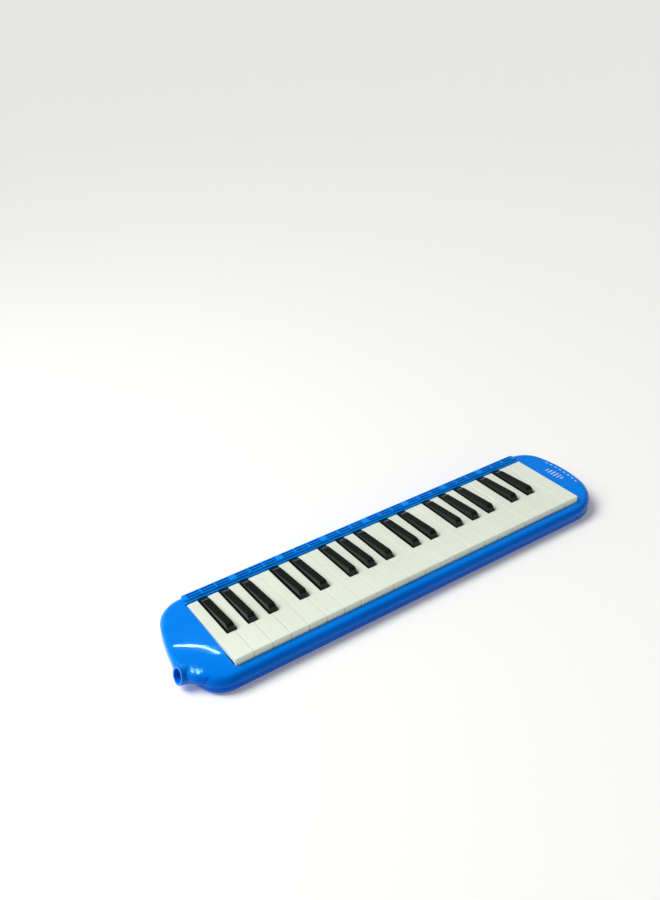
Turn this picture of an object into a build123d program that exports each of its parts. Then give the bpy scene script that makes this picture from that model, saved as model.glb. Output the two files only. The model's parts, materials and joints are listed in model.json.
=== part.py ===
from build123d import *
import math
import os

# Melodica with 37 keys. Millimetres.
# The design is drawn in a keyboard frame: its origin is the front, left, top corner of the
# lowest white key, +X runs towards the high notes, +Y to the rear and +Z up. save() moves each
# part so that the origin is at the bottom centre of the whole instrument.

# Keyboard
WHITE_PITCH = 17.0
OCTAVE_GROUPS = [4, 3, 4, 3, 4, 3, 1]       # white keys in F-B and C-E groups, low to high
KEYBOARD_WIDTH = WHITE_PITCH * sum(OCTAVE_GROUPS)
LAST_SLOT = WHITE_PITCH * 4 / 7             # lever space of the single last white key
WHITE_LENGTH = 78.7
WHITE_GAP = 0.35
WHITE_TOP_THICK = 1.6
WHITE_FRONT_DEPTH = 9.5
WHITE_NOTCH_Y = 29.1                        # where the broad front of a white key ends
SKIRT_DEPTH = 4.6
SKIRT_THICK = 1.3
KEY_EDGE_R = 0.4

BLACK_FRONT_Y = 29.7
BLACK_REAR_Y = 78.2
BLACK_WIDTH = 7.6
BLACK_TOP_WIDTH = 6.4                       # at the full height
BLACK_HEIGHT = 5.6
BLACK_BEND = (72.5, 2.5)                    # y and height where the top starts to drop to the rear
BLACK_REAR_HEIGHT = 0.6
BLACK_HOLLOW_Y = (32.0, 56.0)
BLACK_HOLLOW_Z = 1.0
BLACK_WALL = 1.5
BLACK_FACET_Y = 30.9                        # lower facet of the sloped front ends here
BLACK_FACET_Z = 3.9
BLACK_TOP_Y = 33.5
BLACK_EDGE_R = 0.5
BLACK_CORNER_R = 1.0

# Key action
AXLE_R = 1.0
AXLE_Y = 66.0
AXLE_Z = -7.6
AXLE_RUNNING_GAP = 0.05
LEVER_WIDTH = 6.0
LEVER_FRONT_Y = 57.0
LEVER_ROOT_Z = -1.0
LEVER_STEP = [(76.0, -1.0), (76.0, -5.2), (80.0, -6.4)]     # y, z down from the key to the tail
LEVER_TOP_Z = -6.4
LEVER_BOTTOM_Z = -8.6
BOSS_BOTTOM_Z = -9.6
BOSS_Y = (64.0, 68.0)
BOSS_SLOPE_Y = (60.5, 72.0)
PAD_FRONT_Y = 81.0
PAD_REAR_Y = 90.0
PAD_WIDTH = 8.0
PAD_BOTTOM_Z = -9.9
PALLET_THICK = 1.2
BOARD_TOP_Z = -10.0
POST_THICK = 2.8
POST_TOP_Z = -5.2
POST_Y = (63.2, 68.8)
FRAME_FOOT_Z = -8.8
FRAME_FOOT_REAR_Y = 61.5
FRAME_LEFT_X = -0.4
AXLE_OVERHANG = 1.2
SPRING_THICK = 0.3
SPRING_WIDTH = 2.4
SPRING_Y = (42.0, 56.0, 61.0)               # tip, bend and rear end
SPRING_TIP_Z = -3.3

# Case
CASE_FRONT_Y = -10.0
CASE_REAR_Y = 93.5
LEFT_BOW = (70.9, 39.6, 104.0)              # centre x, centre y, radius of the bowed left end
RIGHT_BOW = (281.8, 39.2, 124.0)
LEFT_FRONT_R = 22.6
LEFT_REAR_R = 29.0
RIGHT_FRONT_R = 40.0
RIGHT_REAR_R = 27.3
FLOOR_Z = -22.0
CROWN_Z = -0.7                              # highest line of the crowned top
CROWN_Y = 88.0
CROWN_R = 745.0
TOP_EDGE_R = 6.0
BOTTOM_EDGE_R = 5.5
WALL = 2.0
PARTING_Z = -14.5
PARTING_GAP = 0.3
SPIGOT_THICK = 1.0
SPIGOT_HEIGHT = 2.0
SPIGOT_ROOT = 3.0
SPIGOT_CLEARANCE = 0.12
WELL_GAP = 0.25
WELL_FRONT_Y = -0.5
WELL_REAR_Y = 80.0
WELL_SKIRT_THICK = 1.2
WELL_SKIRT_Z = -10.2
WELL_TOP_Z = 4.0
RAIL_WELL_X = (1.0, 370.6)                  # narrower opening under the sound rail
RAIL_WELL_REAR_Y = 87.5
WIDE_X = (-60.0, 440.0)                     # ranges that reach past the whole case
WIDE_Y = (-20.0, 110.0)
ABOVE_Z = 20.0
FRONT_RIB_Y = (1.0, 6.5)
MIDDLE_RIB_Y = (31.0, 35.5)
FRONT_RIB_TOP_Z = -15.5
FRONT_FELT_TOP_Z = -13.5
MIDDLE_RIB_TOP_Z = -9.2
MIDDLE_FELT_TOP_Z = -7.7
CHEST_RESTS_X = (60.0, 187.0, 314.0)
CHEST_REST_Y = (52.0, 87.0)
CHEST_REST_WIDTH = 3.0
SCREW_PLACES = [
    (-19, 72), (-15, 0), (60, -3.8), (187, -3.8), (314, -3.8), (378, 0), (392, 40), (388, 80),
]
SCREW_SHANK_R = 1.25
SCREW_HEAD_R = 2.6
SCREW_TIP_Z = -9.5
SCREW_HEAD_Z = (FLOOR_Z + 0.8, FLOOR_Z + 2.6)
SCREW_CROSS = (3.2, 0.6, 1.8)               # length, width and depth from the floor
BOSS_R = 3.0

# Sound rail along the rear
RAIL_LEFT_X = -1.0
RAIL_RIGHT_X = 372.6
LEDGE_FRONT_Y = 80.2
LEDGE_TOP_Z = 0.4
RAIL_FRONT_Y = 82.0
RAIL_REAR_Y = 89.0
RAIL_TOP_Z = 2.6
RAIL_FOOT_Z = -0.65
RAIL_PLATE_Z = 1.0
RAIL_END_R = 2.5
RAIL_SKIRT_X = (1.2, 370.4)
RAIL_SKIRT_THICK = 1.2
RAIL_SKIRT_Z = -3.0
SLOT_GROUPS = 8
SLOTS_IN_GROUP = 3
SLOT_LENGTH = 12.6
SLOT_RIB = 1.2
GROUP_PITCH = 46.5
GROUP_START_X = 3.5
SLOT_FRONT = (82.9, 85.2)                   # y range of the wide slot
SLOT_REAR = (86.5, 87.7)                    # y range of the narrow slot behind the bar
SLOT_BAR_Z = 2.1

# Mouthpiece socket: a tube that leaves the left end, tilted upwards
SOCKET_MOUTH = (-39.8, 19.65, -9.4)
SOCKET_TILT = 15.0
SOCKET_R = 7.65
SOCKET_BORE_R = 5.7
SOCKET_BORE_DEPTH = 12.0
SOCKET_LENGTH = 17.0
SOCKET_THROAT_R = 4.2
SOCKET_INNER_X = -23.2
SOCKET_CLEARANCE = 0.1
SOCKET_RIM_R = 0.7
SOCKET_BORE_EDGE_R = 0.5
HOOD_MOUTH = (1.6, 5.65, 5.65, 2.0)         # depth, half width, half height, rise above the axis
HOOD_ROOT = (10.0, 11.0, 8.6, -0.6)
NOSE_REAR = [(-30.0, 66.0), (-34.8, 47.8), (-38.0, 29.5)]   # plan of the swelling at the socket
NOSE_FRONT = [(-36.0, 15.0), (-33.4, 9.4), (-26.0, 1.5)]
NOSE_INNER_X = -22.0
NOSE_CORNER_R = 6.5
NOSE_TOP_R = 4.0
NOSE_BOTTOM_R = 3.5

# Air duct from the socket to the wind chest
DUCT_WALL = 1.2
DUCT_GASKET_THICK = 0.8
DUCT_GASKET_R = 5.9
DUCT_MOUTH_R = 4.5
DUCT_ENTRY_Y = (13.4, 25.9)
DUCT_RUN_X = (-18.0, -8.0)
DUCT_REAR_Y = 62.0
DUCT_TALL_Z = (-19.4, -7.6)
DUCT_EXIT_Y = 53.0
DUCT_EXIT_Z = (-19.0, -12.8)

# Wind chest
CHEST_X = (0.5, 373.5)
CHEST_Y = (50.0, 89.0)
CHEST_FLOOR_Z = -19.2
CHEST_WALL = 1.6
CHEST_BASE = 1.5
CHEST_TOP_Z = -13.1
CHEST_INLET = [(54.2, 60.8), (-17.7, -14.0)]
CHEST_DEPTHS = (-20.0, -5.0)                # z range that reaches past every layer of the chest
GASKET_TOP_Z = -12.5
BOARD_REAR_Y = 90.6
CHANNEL_TOP_Z = -11.0
CHANNEL_Y = (57.0, 88.0)
CHANNEL_WIDTH = 6.4
PORT_Y = (83.0, 88.0)
PORT_WIDTH = 6.0
PLATE_Y = (52.2, 86.8)
PLATE_BOTTOM_Z = -13.5
PLATE_NOTES = [12, 13, 12]                  # reeds on each of the three plates
PLATE_MARGIN = (2.3, 1.7)                   # left end inside, right end outside the note slots
PLATE_SCREW_INSET = 1.6
PLATE_HOLE_R = 1.0
REED_ROOT_Y = 54.0
REED_ROOT_LENGTH = 4.0
REED_RIVET_Y = 55.6
REED_THICK = 0.25
REED_LOW_LENGTH = 28.0
REED_HIGH_LENGTH = 13.0
REED_LOW_WIDTH = 3.4
REED_HIGH_WIDTH = 2.2
RIVET_R = 0.5
RIVET_HEAD_R = 0.9
RIVET_HEAD_THICK = 0.4

# Drain valve at the right end
DRAIN_Y = 66.0
DRAIN_Z = -15.0
DRAIN_BOX_Y = (58.0, 74.0)
DRAIN_BOX_Z = (-19.6, -10.4)
DRAIN_BOX_WALL = (1.4, 1.2)                 # at the ends and sides, at the top and bottom
DRAIN_INLETS_Y = [(60.0, 63.8), (68.2, 72.0)]
DRAIN_INLETS_Z = (-17.5, -13.6)
DRAIN_SEAT_X = 384.6
DRAIN_TUBE_END_X = 399.0
DRAIN_TUBE_R = 3.0
DRAIN_TUBE_BORE_R = 2.0
DRAIN_BUTTON_R = 3.8
DRAIN_BUTTON_END_X = 405.0
DRAIN_BUTTON_EDGE_R = 1.2
DRAIN_STROKE_GAP = 2.3
DRAIN_STEM_R = 1.2
DRAIN_STEM_TAIL = 3.1
DRAIN_SEAL_R = 3.0
DRAIN_SEAL_THICK = 1.6
DRAIN_SPRING_R = 1.7
DRAIN_SPRING_WIRE_R = 0.25
DRAIN_SPRING_TURNS = 3.5

# Hand strap in a recess of the underside
STRAP_X = (100.0, 274.0)
STRAP_Y = (10.0, 28.0)
STRAP_THICK = 1.5
STRAP_RECESS_Z = -18.8
STRAP_RECESS_MARGIN = 1.6
STRAP_WALL = 1.8
STRAP_CLEARANCE = 0.05
ANCHOR_LENGTH = 12.0
ANCHOR_TOP_Z = STRAP_RECESS_Z - STRAP_CLEARANCE - STRAP_THICK
ANCHOR_THICK = 1.2
ANCHOR_CORNER_R = 2.0
ANCHOR_SCREW_R = 0.9
ANCHOR_SCREW_HEAD_R = 1.9
ANCHOR_SCREW_HEAD_THICK = 0.4

# The whole instrument runs from the socket's lip to the right end, and from front to rear wall
LOWEST_X = SOCKET_MOUTH[0] - SOCKET_R * math.sin(math.radians(SOCKET_TILT))
HIGHEST_X = RIGHT_BOW[0] + RIGHT_BOW[2]
ORIGIN = ((LOWEST_X + HIGHEST_X) / 2, (CASE_FRONT_Y + CASE_REAR_Y) / 2, FLOOR_Z)


def save(name, *solids):
    """Write one sub-part, moved to the instrument's own frame."""
    shapes = [s for shape in solids for s in shape.solids()]
    whole = shapes[0] if len(shapes) == 1 else Compound(children=shapes)
    export_step(Pos(-ORIGIN[0], -ORIGIN[1], -ORIGIN[2]) * whole, f"parts/{name}.step")


def block(x, y, z):
    """Box between the ranges x, y and z."""
    size = [b - a for a, b in (x, y, z)]
    centre = [(a + b) / 2 for a, b in (x, y, z)]
    return Pos(*centre) * Box(*size)


def rod_x(x, y, z, radius):
    """Round bar along X over the range x."""
    return Pos((x[0] + x[1]) / 2, y, z) * Rot(0, 90, 0) * Cylinder(radius, x[1] - x[0])


def rod_z(x, y, z, radius):
    """Upright round bar over the range z."""
    return Pos(x, y, (z[0] + z[1]) / 2) * Cylinder(radius, z[1] - z[0])


def side_profile(points, x):
    """Solid whose outline in the YZ plane is points, over the range x."""
    face = make_face(Polyline(*[(x[0], y, z) for y, z in points], close=True))
    return extrude(face, x[1] - x[0], dir=(1, 0, 0))


def crown_z(y):
    """Height of the crowned top at y."""
    return CROWN_Z - CROWN_R + math.sqrt(CROWN_R**2 - (CROWN_Y - y) ** 2)


def polar(centre, radius, degrees):
    angle = math.radians(degrees)
    return (centre[0] + radius * math.cos(angle), centre[1] + radius * math.sin(angle))


def arc(centre, radius, start, end):
    """Arc about centre, from one direction in degrees to the other."""
    return ThreePointArc(*[polar(centre, radius, a) for a in (start, (start + end) / 2, end)])


def corner(bow, edge_y, radius):
    """Centre of a corner arc that touches a bowed end and the straight edge at edge_y."""
    bow_x, bow_y, bow_r = bow
    y = edge_y - math.copysign(radius, edge_y - bow_y)
    side = -1 if bow is LEFT_BOW else 1
    return (bow_x + side * math.sqrt((bow_r - radius) ** 2 - (y - bow_y) ** 2), y)


def case_plan(inset):
    """Plan outline of the case, moved inwards by inset."""
    left_rear = corner(LEFT_BOW, CASE_REAR_Y, LEFT_REAR_R)
    left_front = corner(LEFT_BOW, CASE_FRONT_Y, LEFT_FRONT_R)
    right_front = corner(RIGHT_BOW, CASE_FRONT_Y, RIGHT_FRONT_R)
    right_rear = corner(RIGHT_BOW, CASE_REAR_Y, RIGHT_REAR_R)

    def turn(bow, centre):
        return math.degrees(math.atan2(centre[1] - bow[1], centre[0] - bow[0])) % 360

    left_a = turn(LEFT_BOW, left_rear)
    left_b = turn(LEFT_BOW, left_front)
    right_a = turn(RIGHT_BOW, right_front) - 360
    right_b = turn(RIGHT_BOW, right_rear)
    edges = [
        arc(left_rear, LEFT_REAR_R - inset, 90, left_a),
        arc(LEFT_BOW, LEFT_BOW[2] - inset, left_a, left_b),
        arc(left_front, LEFT_FRONT_R - inset, left_b, 270),
        Line((left_front[0], CASE_FRONT_Y + inset), (right_front[0], CASE_FRONT_Y + inset)),
        arc(right_front, RIGHT_FRONT_R - inset, -90, right_a),
        arc(RIGHT_BOW, RIGHT_BOW[2] - inset, right_a, right_b),
        arc(right_rear, RIGHT_REAR_R - inset, right_b, 90),
        Line((right_rear[0], CASE_REAR_Y - inset), (left_rear[0], CASE_REAR_Y - inset)),
    ]
    return make_face(edges)


def crowned_body(inset, bottom_r, top_r):
    """The case's outer form, or the same form set in by inset."""
    tall = extrude(Pos(0, 0, FLOOR_Z + inset) * case_plan(inset), ABOVE_Z - FLOOR_Z)
    crown = rod_x(WIDE_X, CROWN_Y, CROWN_Z - CROWN_R, CROWN_R - inset)
    body = (tall & crown).solid()
    body = fillet(body.faces().sort_by(Axis.Z)[0].edges(), bottom_r)
    return fillet(body.faces().sort_by(Axis.Z)[-1].edges(), top_r)


def plan_ring(outer, inner, z):
    """Upright wall that follows the case's outline, between two insets."""
    ring = case_plan(outer) - case_plan(inner)
    return extrude(Pos(0, 0, z[0]) * ring, z[1] - z[0])


def socket_frame():
    """Location at the socket's mouth, with Z along the tube, outwards."""
    return Pos(*SOCKET_MOUTH) * Rot(0, SOCKET_TILT - 90, 0)


def socket_rod(radius, depth, proud=0.0):
    """Cylinder on the socket's axis, from proud of the mouth to depth inside it."""
    return socket_frame() * Pos(0, 0, (proud - depth) / 2) * Cylinder(radius, depth + proud)


def socket_passage():
    """Hole for the socket through the case's wall, which leaves the floor whole."""
    passage = socket_rod(SOCKET_R + SOCKET_CLEARANCE, SOCKET_LENGTH + 1)
    return passage & block(WIDE_X, WIDE_Y, (FLOOR_Z + WALL, ABOVE_Z))


def socket_hood():
    """Fairing that spreads from the socket's upper side into the end of the top case."""
    sections = [
        socket_frame() * Pos(rise, 0, -depth) * Ellipse(half_height, half_width)
        for depth, half_width, half_height, rise in (HOOD_MOUTH, HOOD_ROOT)
    ]
    return loft(sections, ruled=True) & block(WIDE_X, WIDE_Y, (PARTING_Z + PARTING_GAP / 2, ABOVE_Z))


def socket_nose():
    """Swelling of the top case's left end, which reaches out beside the socket."""
    inner = [(NOSE_INNER_X, NOSE_FRONT[-1][1]), (NOSE_INNER_X, NOSE_REAR[0][1])]
    outline = [
        ThreePointArc(*NOSE_REAR),
        Line(NOSE_REAR[-1], NOSE_FRONT[0]),
        ThreePointArc(*NOSE_FRONT),
        Polyline(NOSE_FRONT[-1], *inner, NOSE_REAR[0]),
    ]
    tall = extrude(Pos(0, 0, PARTING_Z + PARTING_GAP / 2) * make_face(outline), ABOVE_Z)
    tall = fillet(tall.edges().filter_by(Axis.Z).sort_by(Axis.X)[:2], NOSE_CORNER_R)
    nose = (tall & rod_x(WIDE_X, CROWN_Y, CROWN_Z - CROWN_R, CROWN_R)).solid()
    for height, radius in ((-1, NOSE_TOP_R), (0, NOSE_BOTTOM_R)):
        rim = nose.faces().sort_by(Axis.Z)[height].edges()
        nose = fillet([e for e in rim if e.center().X < NOSE_INNER_X - 5], radius)
    return nose


# ---------------------------------------------------------------- keyboard layout

def key_layout():
    """Keys from low to high: colour, lever centre x and the x range of the lever's slot."""
    keys = []
    start = 0.0
    for whites in OCTAVE_GROUPS:
        slots = 2 * whites - 1
        width = WHITE_PITCH * whites / slots if whites > 1 else LAST_SLOT
        for slot in range(slots):
            left = start + slot * width
            colour = "white" if slot % 2 == 0 else "black"
            keys.append((colour, left + width / 2, left, left + width))
        start += WHITE_PITCH * whites
    return keys


KEYS = key_layout()


def lever(centre_x):
    """Rear arm of a key: boss on the axle, tail, pallet plate, and the pad glued under it."""
    half = LEVER_WIDTH / 2
    outline = [
        (LEVER_FRONT_Y, LEVER_ROOT_Z), *LEVER_STEP,
        (PAD_REAR_Y, LEVER_TOP_Z), (PAD_REAR_Y, LEVER_BOTTOM_Z), (BOSS_SLOPE_Y[1], LEVER_BOTTOM_Z),
        (BOSS_Y[1], BOSS_BOTTOM_Z), (BOSS_Y[0], BOSS_BOTTOM_Z), (BOSS_SLOPE_Y[0], AXLE_Z),
        (LEVER_FRONT_Y, -SKIRT_DEPTH),
    ]
    arm = side_profile(outline, (centre_x - half, centre_x + half))
    pad_x = (centre_x - PAD_WIDTH / 2, centre_x + PAD_WIDTH / 2)
    pallet = block(pad_x, (PAD_FRONT_Y, PAD_REAR_Y), (LEVER_BOTTOM_Z, LEVER_BOTTOM_Z + PALLET_THICK))
    pad = block(pad_x, (PAD_FRONT_Y, PAD_REAR_Y), (PAD_BOTTOM_Z, LEVER_BOTTOM_Z))
    return arm + pallet, pad


def axle_bore(centre_x):
    reach = (centre_x - LEVER_WIDTH, centre_x + LEVER_WIDTH)
    return rod_x(reach, AXLE_Y, AXLE_Z, AXLE_R + AXLE_RUNNING_GAP)


def white_key(number, centre_x, slot_left, slot_right):
    """White key: a thin-walled cap with cut-outs beside the black keys, on its lever."""
    left = number * WHITE_PITCH + WHITE_GAP / 2
    right = (number + 1) * WHITE_PITCH - WHITE_GAP / 2
    last = number == sum(OCTAVE_GROUPS) - 1
    tail = (max(left, slot_left), right if last else min(right, slot_right))
    t = SKIRT_THICK

    def cap(inset, z):
        front = block((left + inset, right - inset), (inset, WHITE_NOTCH_Y - inset), z)
        rear_y = (WHITE_NOTCH_Y - 2 * t, WHITE_LENGTH - inset)
        return front + block((tail[0] + inset, tail[1] - inset), rear_y, z)

    shell = cap(0, (-SKIRT_DEPTH, 0))
    shell += block((left, right), (0, t), (-WHITE_FRONT_DEPTH, 0))
    shell = shell.clean()
    rim = shell.faces().sort_by(Axis.Z)[-1].edges()
    uprights = shell.edges().filter_by(Axis.Z).filter_by(lambda e: e.center().Y < 0.01)
    shell = fillet(rim + uprights, KEY_EDGE_R)
    shell -= cap(t, (-SKIRT_DEPTH, -WHITE_TOP_THICK))
    arm, pad = lever(centre_x)
    return (shell + arm - axle_bore(centre_x)).clean(), pad


def black_corner_edges(body, centre_x):
    """Edges up the two front corners of a black key."""
    front = [e for e in body.edges() if e.center().Y < BLACK_TOP_Y]
    return [e for e in front if abs(e.center().X - centre_x) > BLACK_TOP_WIDTH / 2 - 0.1]


def black_top_edges(body):
    """Long edges on both sides of a black key's top."""
    high = body.edges().filter_by(lambda e: e.center().Z > 0.2 and e.center().Y > BLACK_TOP_Y)
    return [e for e in high if abs(e.tangent_at(0.5).Y) > 0.9]


def black_key(centre_x):
    """Black key: a hollow cap with leaning sides and a faceted front, on its lever."""
    top_line = [
        (BLACK_FRONT_Y, -SKIRT_DEPTH), (BLACK_FRONT_Y, 0), (BLACK_FACET_Y, BLACK_FACET_Z),
        (BLACK_TOP_Y, BLACK_HEIGHT), BLACK_BEND, (BLACK_REAR_Y, BLACK_REAR_HEIGHT),
        (BLACK_REAR_Y, -SKIRT_DEPTH),
    ]
    half = BLACK_WIDTH / 2
    half_top = BLACK_TOP_WIDTH / 2
    section = [(-half, -SKIRT_DEPTH), (-half, 0), (-half_top, BLACK_HEIGHT),
               (half_top, BLACK_HEIGHT), (half, 0), (half, -SKIRT_DEPTH)]
    across = make_face(Polyline(*[(centre_x + x, 0, z) for x, z in section], close=True))
    body = side_profile(top_line, (centre_x - half, centre_x + half))
    body &= extrude(across, 90, dir=(0, 1, 0))
    body = body.solid()
    body = fillet(black_corner_edges(body, centre_x), BLACK_CORNER_R)
    body = fillet(black_top_edges(body), BLACK_EDGE_R)
    inside = (centre_x - half + BLACK_WALL, centre_x + half - BLACK_WALL)
    body -= block(inside, BLACK_HOLLOW_Y, (-SKIRT_DEPTH, BLACK_HOLLOW_Z))
    arm, pad = lever(centre_x)
    return (body + arm - axle_bore(centre_x)).clean(), pad


def save_keys():
    whites = 0
    blacks = 0
    for colour, centre_x, slot_left, slot_right in KEYS:
        if colour == "white":
            save(f"white_key_{whites + 1:02d}", *white_key(whites, centre_x, slot_left, slot_right))
            whites += 1
        else:
            save(f"black_key_{blacks + 1:02d}", *black_key(centre_x))
            blacks += 1


# ---------------------------------------------------------------- case

def case_hollow():
    return crowned_body(WALL, BOTTOM_EDGE_R - WALL, TOP_EDGE_R - WALL)


def case_shell():
    return crowned_body(0, BOTTOM_EDGE_R, TOP_EDGE_R) - case_hollow()


def key_well():
    """Opening for the keys, and the narrower one under the sound rail."""
    depth = (WELL_SKIRT_Z - 2, WELL_TOP_Z)
    keys = block((-WELL_GAP, KEYBOARD_WIDTH + WELL_GAP), (WELL_FRONT_Y, WELL_REAR_Y), depth)
    return keys + block(RAIL_WELL_X, (WELL_REAR_Y - 1, RAIL_WELL_REAR_Y), depth)


def well_skirt():
    """Wall that hangs down around the front and the sides of the key well."""
    side = WELL_GAP + WELL_SKIRT_THICK
    depth = (WELL_FRONT_Y - WELL_SKIRT_THICK, WELL_REAR_Y)
    outer = block((-side, KEYBOARD_WIDTH + side), depth, (WELL_SKIRT_Z, WELL_TOP_Z))
    return outer & rod_x(WIDE_X, CROWN_Y, CROWN_Z - CROWN_R, CROWN_R - WALL / 2)


def top_case(shell):
    upper = shell & block(WIDE_X, WIDE_Y, (PARTING_Z + PARTING_GAP / 2, ABOVE_Z))
    upper += well_skirt()
    upper += (socket_hood() + socket_nose()) - case_hollow()
    for x, y in SCREW_PLACES:
        upper += rod_z(x, y, (PARTING_Z + PARTING_GAP / 2, crown_z(y) - WALL + 0.2), BOSS_R)
    upper -= key_well()
    for x, y in SCREW_PLACES:
        upper -= rod_z(x, y, (PARTING_Z - 1, SCREW_TIP_Z + 0.5), SCREW_SHANK_R)
    upper -= socket_passage()
    upper -= drain_hole()
    return fillet(upper.edges().filter_by(on_well_edge), KEY_EDGE_R)


def on_well_edge(edge):
    """True for the edges where the crowned top meets the key well, in front of the sound rail."""
    middle = edge @ 0.5
    ends = (edge @ 0, edge @ 1)
    inside = -1 < middle.X < KEYBOARD_WIDTH + 1 and -0.6 < middle.Y < WELL_REAR_Y - 0.5
    return inside and all(abs(p.Z - crown_z(p.Y)) < 0.01 for p in (*ends, middle))


def lower_case(shell):
    edge_z = PARTING_Z - PARTING_GAP / 2
    root_z = PARTING_Z - SPIGOT_ROOT
    lower = shell & block(WIDE_X, WIDE_Y, (FLOOR_Z - 1, edge_z))
    lower += plan_ring(WALL - 0.2, WALL + SPIGOT_THICK, (root_z, edge_z))
    lower += plan_ring(WALL + SPIGOT_CLEARANCE, WALL + SPIGOT_THICK, (root_z, PARTING_Z + SPIGOT_HEIGHT))
    rib_x = (0, KEYBOARD_WIDTH)
    lower += block(rib_x, FRONT_RIB_Y, (FLOOR_Z + 1, FRONT_RIB_TOP_Z))
    lower += block(rib_x, MIDDLE_RIB_Y, (FLOOR_Z + 1, MIDDLE_RIB_TOP_Z))
    for x in CHEST_RESTS_X:
        rest = (x - CHEST_REST_WIDTH / 2, x + CHEST_REST_WIDTH / 2)
        lower += block(rest, CHEST_REST_Y, (FLOOR_Z + 1, CHEST_FLOOR_Z))
    margin = STRAP_RECESS_MARGIN
    recess = [(STRAP_X[0] - margin, STRAP_X[1] + margin), (STRAP_Y[0] - margin, STRAP_Y[1] + margin)]
    bump = [(a - STRAP_WALL, b + STRAP_WALL) for a, b in recess]
    lower += block(*bump, (FLOOR_Z + 1, STRAP_RECESS_Z + STRAP_WALL))
    lower -= block(*recess, (FLOOR_Z - 1, STRAP_RECESS_Z))
    for x in strap_screw_places():
        lower -= rod_z(x, sum(STRAP_Y) / 2, (STRAP_RECESS_Z - 1, STRAP_RECESS_Z + 3), 0.95)
    for x, y in SCREW_PLACES:
        lower += rod_z(x, y, (FLOOR_Z + 1, edge_z), BOSS_R)
    for x, y in SCREW_PLACES:
        lower -= rod_z(x, y, (FLOOR_Z - 1, SCREW_HEAD_Z[1]), SCREW_HEAD_R + 0.15)
        lower -= rod_z(x, y, (FLOOR_Z - 1, PARTING_Z), SCREW_SHANK_R + 0.15)
    lower -= socket_passage()
    lower -= drain_hole()
    return lower.solid()


def case_screws():
    """Self-tapping screws that hold the two halves of the case, heads sunk in the underside."""
    screws = []
    length, width, depth = SCREW_CROSS
    for x, y in SCREW_PLACES:
        head = rod_z(x, y, SCREW_HEAD_Z, SCREW_HEAD_R)
        shank = rod_z(x, y, (FLOOR_Z + 2.0, SCREW_TIP_Z), SCREW_SHANK_R - 0.05)
        cross = Pos(x, y, FLOOR_Z + depth / 2) * (Box(length, width, depth) + Box(width, length, depth))
        screws.append(head + shank - cross)
    return screws


def slot_starts():
    """Left end of every sound slot."""
    for group in range(SLOT_GROUPS):
        for slot in range(SLOTS_IN_GROUP):
            yield GROUP_START_X + group * GROUP_PITCH + slot * (SLOT_LENGTH + SLOT_RIB)


def sound_rail():
    """Raised bar behind the keys, with groups of double slots that let the sound out."""
    length = (RAIL_LEFT_X, RAIL_RIGHT_X)
    bar = block(length, (RAIL_FRONT_Y, RAIL_REAR_Y), (RAIL_FOOT_Z, RAIL_TOP_Z))
    bar = fillet(bar.edges().filter_by(Axis.Z), RAIL_END_R)
    bar = fillet(bar.faces().sort_by(Axis.Z)[-1].edges(), KEY_EDGE_R)
    ledge = block(length, (LEDGE_FRONT_Y, RAIL_FRONT_Y + RAIL_END_R), (RAIL_FOOT_Z, LEDGE_TOP_Z))
    front = ledge.edges().filter_by(Axis.X).sort_by(Axis.Y)[:2].sort_by(Axis.Z)[-1]
    ledge = fillet(front, KEY_EDGE_R)
    skirt_y = (LEDGE_FRONT_Y, LEDGE_FRONT_Y + RAIL_SKIRT_THICK)
    rail = bar + ledge + block(RAIL_SKIRT_X, skirt_y, (RAIL_SKIRT_Z, RAIL_FOOT_Z + 0.3))
    rail -= block(RAIL_WELL_X, (SLOT_FRONT[0], SLOT_REAR[1] + 0.2), (RAIL_FOOT_Z - 1, RAIL_PLATE_Z))
    for x in slot_starts():
        reach = (x, x + SLOT_LENGTH)
        rail -= block(reach, (SLOT_FRONT[0], SLOT_REAR[1]), (SLOT_BAR_Z, RAIL_TOP_Z + 1))
        rail -= block(reach, SLOT_FRONT, (RAIL_PLATE_Z - 1, RAIL_TOP_Z))
        rail -= block(reach, SLOT_REAR, (RAIL_PLATE_Z - 1, RAIL_TOP_Z))
    return rail.solid()


# ---------------------------------------------------------------- air path

def mouthpiece_socket():
    tube = socket_rod(SOCKET_R, SOCKET_LENGTH)
    tube = fillet(tube.edges().sort_by(Axis.X)[:1], SOCKET_RIM_R)
    tube -= socket_rod(SOCKET_BORE_R, SOCKET_BORE_DEPTH, 1)
    tube -= socket_rod(SOCKET_THROAT_R, SOCKET_LENGTH + 1)
    lip = tube.edges().filter_by(GeomType.CIRCLE).sort_by(Axis.X)
    inner = [e for e in lip if abs(e.radius - SOCKET_BORE_R) < 0.01][:1]
    tube = fillet(inner, SOCKET_BORE_EDGE_R)
    room = block((WIDE_X[0], SOCKET_INNER_X), WIDE_Y, (FLOOR_Z + WALL + 0.1, ABOVE_Z))
    return (tube & room).solid()


def socket_axis_z(x):
    return SOCKET_MOUTH[2] - (x - SOCKET_MOUTH[0]) * math.tan(math.radians(SOCKET_TILT))


def duct_gasket():
    """Flat ring between the socket's inner end and the duct."""
    y, z = SOCKET_MOUTH[1], socket_axis_z(SOCKET_INNER_X)
    reach = (SOCKET_INNER_X, SOCKET_INNER_X + DUCT_GASKET_THICK)
    return rod_x(reach, y, z, DUCT_GASKET_R) - rod_x(reach, y, z, DUCT_MOUTH_R)


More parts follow.
